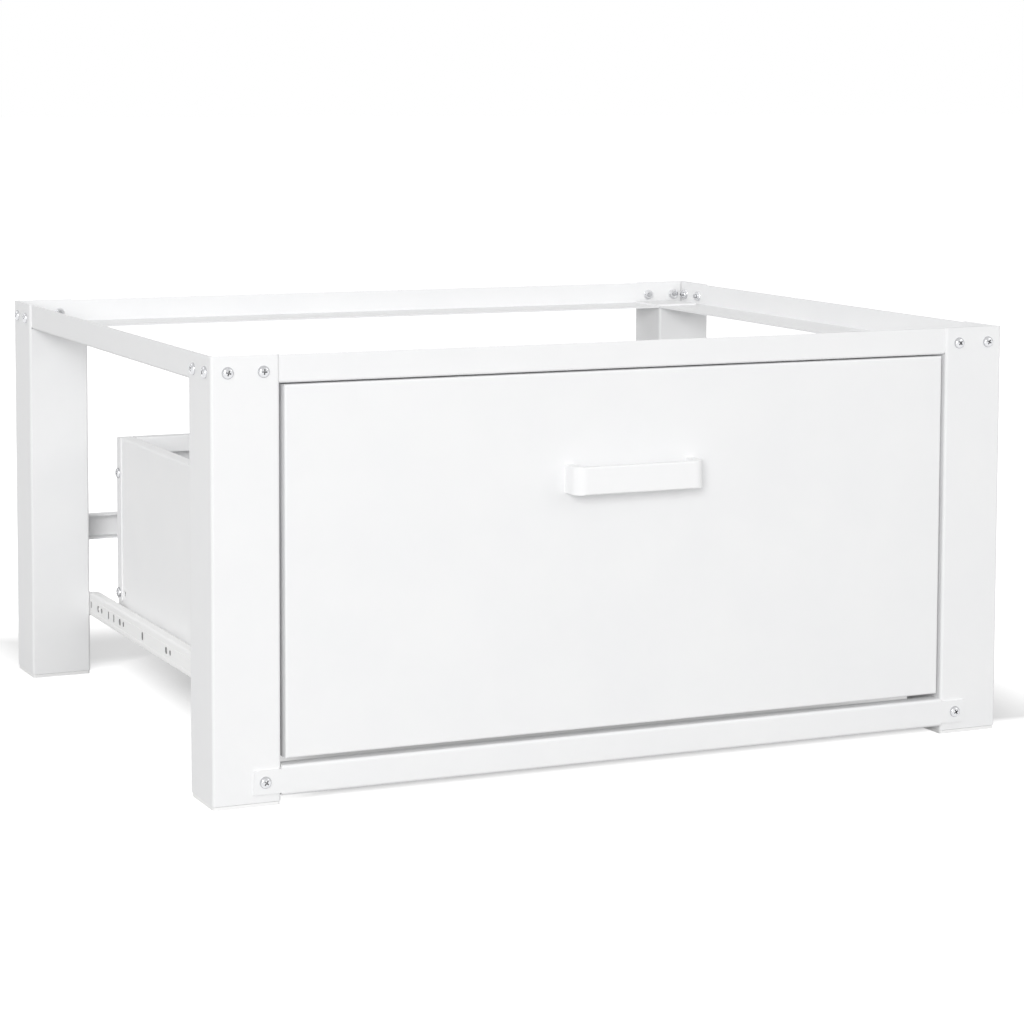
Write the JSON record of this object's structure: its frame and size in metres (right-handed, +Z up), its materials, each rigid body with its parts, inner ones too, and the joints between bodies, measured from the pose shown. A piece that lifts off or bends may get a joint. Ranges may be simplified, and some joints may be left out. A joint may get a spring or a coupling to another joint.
{
  "type": "washing machine pedestal with drawer",
  "caption": "Square-legged steel pedestal that raises a washing machine inside a rimmed ledge, with a roller-mounted storage drawer and bow handle below.",
  "frame": {"origin": "centre of the bounding box's base, on the floor", "axes": "+X to the right seen from the front, +Y to the back, +Z up; the drawer opens along -Y"},
  "size_m": [0.6326, 0.5439, 0.31],
  "materials": {
    "white_painted_steel": "white powder coat, satin",
    "epoxy_white_steel": "white epoxy coat on drawn steel",
    "zinc_steel": "bright zinc plate",
    "white_plastic": "moulded, matt",
    "handle_white": "white enamel on a zinc casting",
    "nylon": "natural white nylon"
  },
  "bodies": {
    "frame": {"post_front_left": "white_painted_steel", "post_front_right": "white_painted_steel", "post_back_left": "white_painted_steel", "post_back_right": "white_painted_steel", "foot_cap_front_left": "white_plastic", "foot_cap_front_right": "white_plastic", "foot_cap_back_left": "white_plastic", "foot_cap_back_right": "white_plastic", "top_rail_front": "white_painted_steel", "top_rail_back": "white_painted_steel", "top_rail_left": "white_painted_steel", "top_rail_right": "white_painted_steel", "bottom_front_rail": "white_painted_steel", "rear_tie_bar": "white_painted_steel", "corner_screws": "zinc_steel", "corner_nuts": "zinc_steel", "bottom_rail_screws": "zinc_steel", "tie_bar_screws": "zinc_steel", "weld_nuts": "zinc_steel", "cabinet_rail_left": "epoxy_white_steel", "cabinet_rail_right": "epoxy_white_steel", "cabinet_rail_screws": "zinc_steel", "front_roller_pins": "zinc_steel"},
    "drawer": {"drawer_front": "white_painted_steel", "drawer_inner_front": "white_painted_steel", "drawer_side_left": "white_painted_steel", "drawer_side_right": "white_painted_steel", "drawer_back": "white_painted_steel", "drawer_bottom": "white_painted_steel", "drawer_front_screws": "zinc_steel", "drawer_back_screws": "zinc_steel", "handle": "handle_white", "handle_screws": "zinc_steel", "runner_left": "epoxy_white_steel", "runner_right": "epoxy_white_steel", "runner_screws": "zinc_steel", "rear_roller_pins": "zinc_steel"},
    "front_wheel_left": {"front_roller_left": "nylon"},
    "front_wheel_right": {"front_roller_right": "nylon"},
    "rear_wheel_left": {"rear_roller_left": "nylon"},
    "rear_wheel_right": {"rear_roller_right": "nylon"}
  },
  "joints": [
    {"name": "drawer_slide", "type": "slide", "parent": "frame", "child": "drawer", "axis": [0, -1, 0], "range_m": [0, 0.34]},
    {"name": "front_wheel_left_spin", "type": "hinge", "parent": "frame", "child": "front_wheel_left", "pos_m": [-0.26, -0.20595, 0.0568], "axis": [1, 0, 0], "continuous": true},
    {"name": "front_wheel_right_spin", "type": "hinge", "parent": "frame", "child": "front_wheel_right", "pos_m": [0.26, -0.20595, 0.0568], "axis": [1, 0, 0], "continuous": true},
    {"name": "rear_wheel_left_spin", "type": "hinge", "parent": "drawer", "child": "rear_wheel_left", "pos_m": [-0.26, 0.16805, 0.0585], "axis": [1, 0, 0], "continuous": true},
    {"name": "rear_wheel_right_spin", "type": "hinge", "parent": "drawer", "child": "rear_wheel_right", "pos_m": [0.26, 0.16805, 0.0585], "axis": [1, 0, 0], "continuous": true}
  ],
  "couplings": [
    {"joint": "front_wheel_left_spin", "follows": "drawer_slide", "rad_per_m": 153.85},
    {"joint": "front_wheel_right_spin", "follows": "drawer_slide", "rad_per_m": 153.85},
    {"joint": "rear_wheel_left_spin", "follows": "drawer_slide", "rad_per_m": 117.65},
    {"joint": "rear_wheel_right_spin", "follows": "drawer_slide", "rad_per_m": 117.65}
  ]
}
